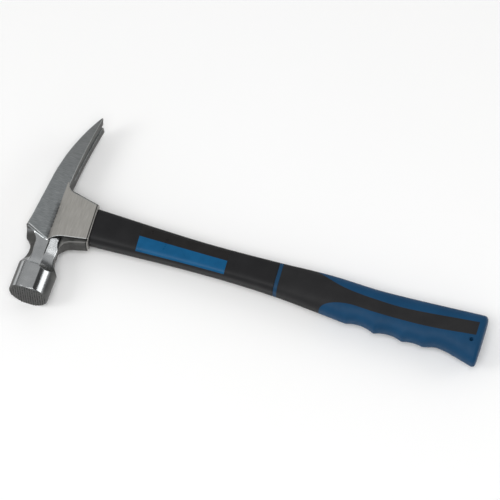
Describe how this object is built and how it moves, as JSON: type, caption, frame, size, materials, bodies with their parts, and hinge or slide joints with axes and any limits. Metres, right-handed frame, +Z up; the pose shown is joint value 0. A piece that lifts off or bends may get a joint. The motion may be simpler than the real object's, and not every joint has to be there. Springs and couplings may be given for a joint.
{
  "type": "framing hammer",
  "caption": "Straight-claw framing hammer with an eight-sided poll and milled face, a jacketed fibreglass-core handle and a two-colour moulded finger grip with a hang hole",
  "frame": {"origin": "middle of the hammer's box, on the ground it lies on", "axes": "X runs along the handle from the head to the butt, +Y is the claw's way and -Y the striking face's, +Z is up and the labelled side faces it"},
  "size_m": [0.4102, 0.1788, 0.034],
  "materials": {
    "head_steel": "ground cheeks, forged side facets, polished poll",
    "bond": "cured resin",
    "core": "pultruded glass fibre",
    "jacket_black": "satin",
    "band_blue": "satin",
    "grip_black": "fine matte",
    "grip_blue": "fine matte",
    "label": "plain two-tone film"
  },
  "bodies": {
    "root": {"head": "head_steel", "epoxy_bond": "bond", "fibreglass_core": "core", "handle_jacket": "jacket_black", "grip_band": "band_blue", "grip_sleeve": "grip_black", "grip_cover": "grip_blue", "side_label": "label"}
  },
  "joints": []
}
